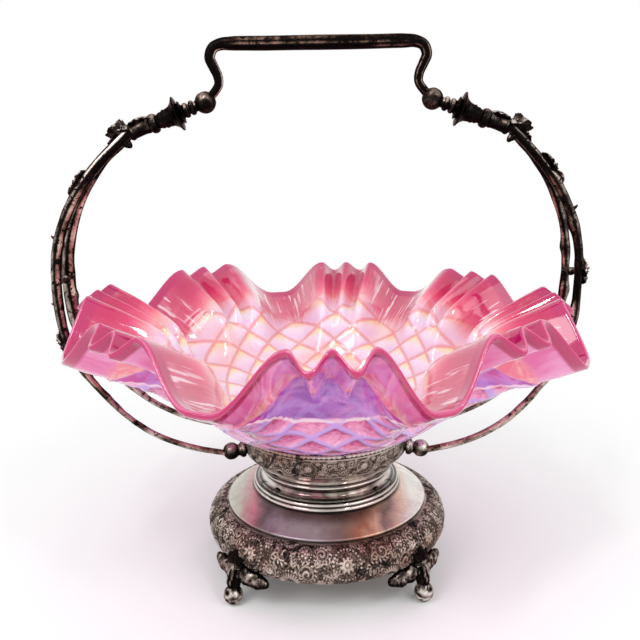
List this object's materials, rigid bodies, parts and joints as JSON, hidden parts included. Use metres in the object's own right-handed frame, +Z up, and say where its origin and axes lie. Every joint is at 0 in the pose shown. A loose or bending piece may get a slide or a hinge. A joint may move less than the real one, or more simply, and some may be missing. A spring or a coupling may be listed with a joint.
{
  "type": "brides basket",
  "caption": "Free-standing silver stand on ball feet with an arched branch handle, an embossed foot and gallery, and a lift-out ruffled glass bowl.",
  "frame": {"origin": "on the table under the middle of the stand", "axes": "+Z up; the front faces -Y; the handle's arch lies in the XZ plane, with +X to the right seen from the front"},
  "size_m": [0.2919, 0.2737, 0.2988],
  "materials": {
    "cranberry_glass": "cranberry to opalescent art glass, fire-polished and glossy",
    "embossed_silver": "silver plate with embossed scrolls, tarnished dark in the recesses",
    "polished_silver": "polished silver plate with light tarnish",
    "dark_silver": "silver plate tarnished almost black, with worn glossy highlights"
  },
  "bodies": {
    "stand": {"foot_band": "embossed_silver", "shoulder": "polished_silver", "ring_moulding": "polished_silver", "neck": "polished_silver", "gallery": "embossed_silver", "gallery_bead": "embossed_silver", "foot_front_left": "dark_silver", "foot_front_right": "dark_silver", "foot_back_right": "dark_silver", "foot_back_left": "dark_silver", "boss_front_left": "dark_silver", "boss_back_left": "dark_silver", "boss_front_right": "dark_silver", "boss_back_right": "dark_silver", "wire_front_left": "dark_silver", "wire_back_left": "dark_silver", "wire_front_right": "dark_silver", "wire_back_right": "dark_silver", "fitting_ball_left": "dark_silver", "spool_left": "dark_silver", "disc_left": "dark_silver", "ribbed_spool_left": "dark_silver", "knob_left": "dark_silver", "sleeve_left": "dark_silver", "rose_left": "dark_silver", "brace_left": "dark_silver", "fitting_ball_right": "dark_silver", "spool_right": "dark_silver", "disc_right": "dark_silver", "ribbed_spool_right": "dark_silver", "knob_right": "dark_silver", "sleeve_right": "dark_silver", "rose_right": "dark_silver", "brace_right": "dark_silver", "leaf_left_upper": "dark_silver", "leaf_left_lower": "dark_silver", "leaf_right_upper": "dark_silver", "leaf_right_lower": "dark_silver", "grip_bar": "dark_silver"},
    "bowl": {"glass_bowl": "cranberry_glass"}
  },
  "joints": [
    {"name": "bowl_lift", "type": "slide", "parent": "stand", "child": "bowl", "axis": [0, 0, 1], "range_m": [0, 0.03]}
  ]
}
